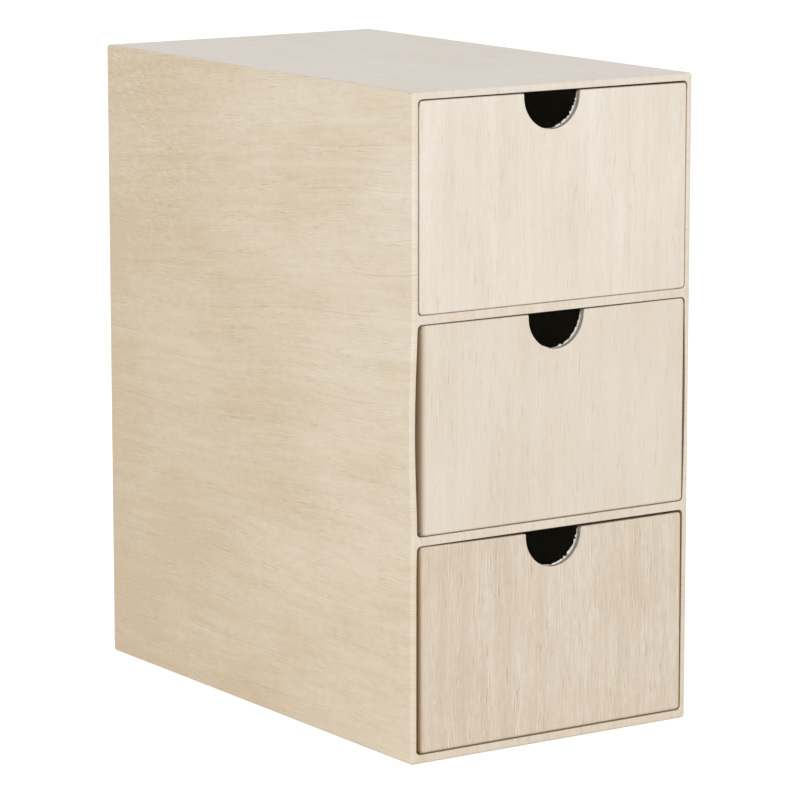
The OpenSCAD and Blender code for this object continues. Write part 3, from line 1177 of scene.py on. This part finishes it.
def make_drawer(row, index, oak, board, liner, torn):
    body = row + "_drawer"
    warp = sitting(row)
    cutter = notch_cutter(row)
    place = drawer_place(row, SEEDS[body + "_wrap"])

    wrap, lining = drawer_wrap_mesh(row), drawer_liner_mesh(row)
    put_piece(body + "_wrap", wrap, oak, body, warp, place, PAPER, cutter)
    put_piece(body + "_liner", lining, liner, body, warp, None, PAPER, cutter)
    lo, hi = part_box(body + "_wrap")
    hull = (lo + WRAP, hi - WRAP)
    folds = FOLDS[row]
    upright_r = max(folds.front_left, folds.upright) - PAPER
    for side in ("front", "back", "left", "right", "floor"):
        node = f"{body}_{side}_board"
        rim_r = RIM_R - PAPER if side != "floor" else 0.0
        mesh = board_mesh(node, hull, upright_r, folds.under - PAPER, rim_r, BOARD_STEP)
        cut = cutter if side == "front" else None
        put_piece(node, mesh, board, body, warp, cutter=cut)
    tear = torn_rim_mesh(row, TEAR_SEED + 10 * index)
    put_piece(body + "_torn_rim", tear, torn, body, warp)
    bpy.data.objects.remove(cutter)


# ---- Stage ----

def make_camera():
    azimuth = math.radians(CAMERA_AZIMUTH)
    elevation = math.radians(CAMERA_ELEVATION)
    aim = Vector((
        math.sin(azimuth) * math.cos(elevation),
        math.cos(azimuth) * math.cos(elevation),
        math.sin(elevation),
    ))
    data = bpy.data.cameras.new("camera")
    data.lens = CAMERA_LENS
    data.clip_start, data.clip_end = CAMERA_CLIP
    camera = new_object("camera", data)
    camera.location = CAMERA_PLACE
    camera.rotation_mode = "QUATERNION"
    camera.rotation_quaternion = aim.to_track_quat("-Z", "Y")
    bpy.context.scene.camera = camera


def seen_directly(graph):
    """1 for camera, glossy and transmission rays, which show the background."""
    path = graph.add("ShaderNodeLightPath").outputs
    either = graph.math("MAXIMUM", path["Is Camera Ray"], path["Is Glossy Ray"])
    return graph.math("MAXIMUM", either, path["Is Transmission Ray"])


def make_world():
    world = bpy.data.worlds.new("studio")
    bpy.context.scene.world = world
    world.use_nodes = True
    graph = Graph(world.node_tree)
    background = world.node_tree.nodes["Background"]
    background.inputs["Color"].default_value = (1, 1, 1, 1)
    strength = graph.span(seen_directly(graph), 0, 1, WORLD_LIGHT, 1.0)
    graph.feed(background.inputs["Strength"], strength)


def make_floor():
    """A wide white floor that keeps the cabinet's shadow."""
    mesh = bmesh.new()
    bmesh.ops.create_grid(mesh, x_segments=1, y_segments=1, size=FLOOR_HALF)
    floor = mesh_object("floor", mesh)
    mesh.free()
    floor.location.z = -FLOOR_DROP
    material, graph, shader = new_material("floor", specular=0.0)
    shader.inputs["Base Color"].default_value = srgb(235, 235, 235)
    shader.inputs["Roughness"].default_value = 1.0
    glow = graph.add("ShaderNodeEmission", {"Color": (1, 1, 1, 1), "Strength": FLOOR_GLOW})
    both = graph.add("ShaderNodeAddShader", {0: shader.outputs[0], 1: glow.outputs[0]})
    inputs = {0: seen_directly(graph), 1: shader.outputs[0], 2: both.outputs[0]}
    choice = graph.add("ShaderNodeMixShader", inputs)
    graph.feed(graph.tree.nodes["Material Output"].inputs["Surface"], choice.outputs[0])
    floor.data.materials.append(material)
    floor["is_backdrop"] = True


def make_lamps():
    for name, place, target, size, power in LAMPS:
        data = bpy.data.lights.new(name, "AREA")
        data.shape = "SQUARE"
        data.size = size
        data.energy = power
        lamp = new_object(name, data)
        lamp.location = place
        aim = Vector(target) - Vector(place)
        lamp.rotation_euler = aim.to_track_quat("-Z", "Y").to_euler()


# ---- Everything ----

make_camera()
make_world()
make_floor()
make_lamps()

side_oak = oak_paper("cabinet_oak", CABINET_PALE, CABINET_TAN, CABINET_PRINT_AND_SHADE, cabinet=True)
raw_board, pale_liner, torn_white = grey_board(), liner_paper(), torn_paper()
make_cabinet(side_oak, raw_board)
for number, name in enumerate(ROWS):
    front_oak = oak_paper(name + "_drawer_oak", DRAWER_PALE, DRAWER_TAN, DRAWER_PRINTS_AND_SHADE[name])
    make_drawer(name, number, front_oak, raw_board, pale_liner, torn_white)

bpy.context.scene.view_settings.view_transform = "Standard"
look_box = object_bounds()
[[list(corner) for corner in box] for box in (cad_box, look_box)]
